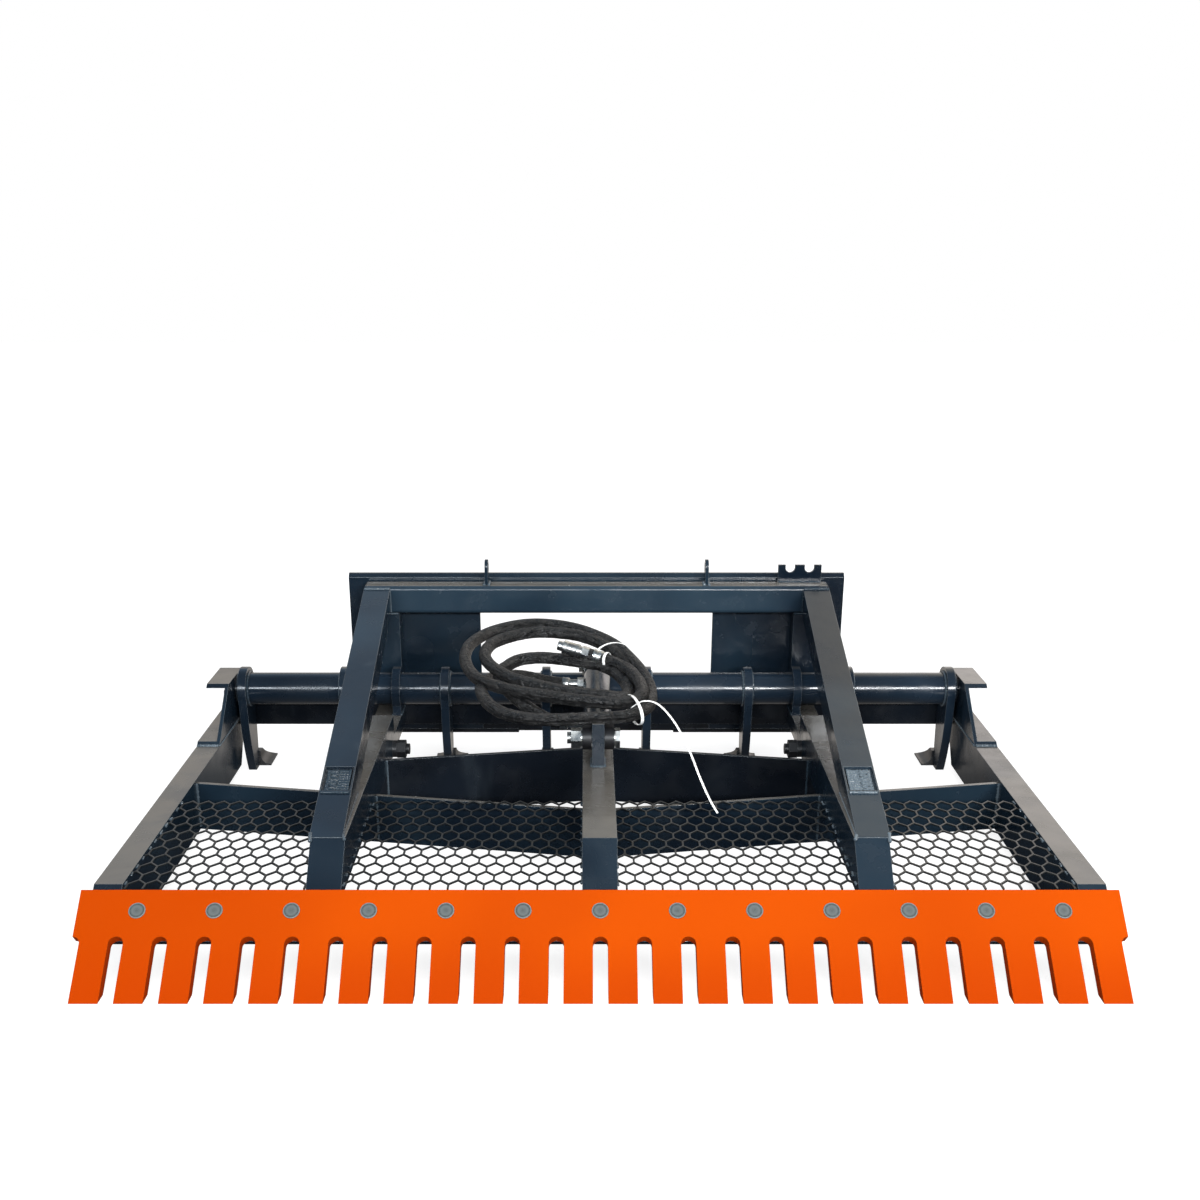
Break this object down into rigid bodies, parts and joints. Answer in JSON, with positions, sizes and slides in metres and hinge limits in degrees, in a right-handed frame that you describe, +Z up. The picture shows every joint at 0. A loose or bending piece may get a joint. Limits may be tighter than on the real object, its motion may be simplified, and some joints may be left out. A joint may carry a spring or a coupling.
{
  "type": "lawn dethatcher",
  "caption": "Wide toothed levelling and raking attachment for a loader, with a sloping toothed blade, mesh deck and a hydraulically swung row of ripper shanks.",
  "frame": {"origin": "centre of the footprint at ground level, midway between the blade's tooth tips and the rear face of the hitch", "axes": "+X across the machine, to the left in the direction of travel; +Y backwards, towards the loader; +Z up"},
  "size_m": [1.8288, 1.3, 0.4989],
  "materials": {
    "frame_paint": "gloss",
    "blade_paint": "gloss",
    "zinc": "satin",
    "chrome": "polished",
    "bare_steel": "machined",
    "seal": "matt",
    "hose": "matt",
    "tie_plastic": "matt"
  },
  "bodies": {
    "frame": {"arm_feet": "frame_paint", "arm_left": "frame_paint", "arm_right": "frame_paint", "base_pivot_bolt": "zinc", "base_pivot_nut": "zinc", "base_pivot_washers": "zinc", "blade_bolts": "zinc", "blade_nuts": "zinc", "blade_washers": "zinc", "cable_ties": "tie_plastic", "centre_beam": "frame_paint", "crossbeam_end_caps": "frame_paint", "cylinder_lug": "frame_paint", "frame_joint_bolts": "frame_paint", "frame_joint_nuts": "frame_paint", "frame_joint_washers": "frame_paint", "front_carrier": "frame_paint", "front_v_plate": "frame_paint", "hitch_bottom_strip": "frame_paint", "hitch_flanges": "frame_paint", "hitch_plate_left": "frame_paint", "hitch_plate_right": "frame_paint", "hitch_posts": "frame_paint", "hitch_top_angle": "frame_paint", "hose_comb": "frame_paint", "hose_couplers": "zinc", "inner_mesh_panels": "frame_paint", "lifting_lugs": "frame_paint", "long_beam_left": "frame_paint", "long_beam_right": "frame_paint", "outer_bearing_bolts": "zinc", "outer_bearings": "frame_paint", "outer_mesh_panels": "frame_paint", "pipe_brackets": "frame_paint", "pressure_hose": "hose", "rail_bracket_left": "frame_paint", "rail_bracket_right": "frame_paint", "rear_beam": "frame_paint", "rear_v_plate": "frame_paint", "return_hose": "hose", "side_rail_left": "frame_paint", "side_rail_right": "frame_paint", "toothed_blade": "blade_paint", "top_crossbeam": "frame_paint"},
    "cylinder": {"cylinder_clevis": "frame_paint", "cylinder_barrel": "frame_paint", "cylinder_gland": "frame_paint", "port_fittings": "zinc"},
    "rod": {"piston_rod": "chrome", "piston": "bare_steel", "piston_seal": "seal", "rod_eye": "frame_paint", "rod_pin": "zinc", "rod_pin_washers": "zinc"},
    "ripper": {"rotor_pipe": "frame_paint", "stub_shafts": "bare_steel", "stub_collars": "frame_paint", "ripper_shanks": "frame_paint", "ripper_points": "frame_paint", "lever_plates": "frame_paint"}
  },
  "joints": [
    {"name": "ripper_swing", "type": "hinge", "parent": "frame", "child": "ripper", "pos_m": [0, 0.484, 0.204], "axis": [-1, 0, 0], "range_deg": [0, 60]},
    {"name": "cylinder_tilt", "type": "hinge", "parent": "frame", "child": "cylinder", "pos_m": [0, -0.004, 0.251], "axis": [1, 0, 0], "range_deg": [-0.5, 0.1]},
    {"name": "rod_slide", "type": "slide", "parent": "cylinder", "child": "rod", "axis": [0, 0.9986, 0.0531], "range_m": [0, 0.078]}
  ],
  "couplings": [
    {"joint": "cylinder_tilt", "follows": "ripper_swing", "ratio": -0.008},
    {"joint": "rod_slide", "follows": "ripper_swing", "m_per_rad": 0.073}
  ]
}
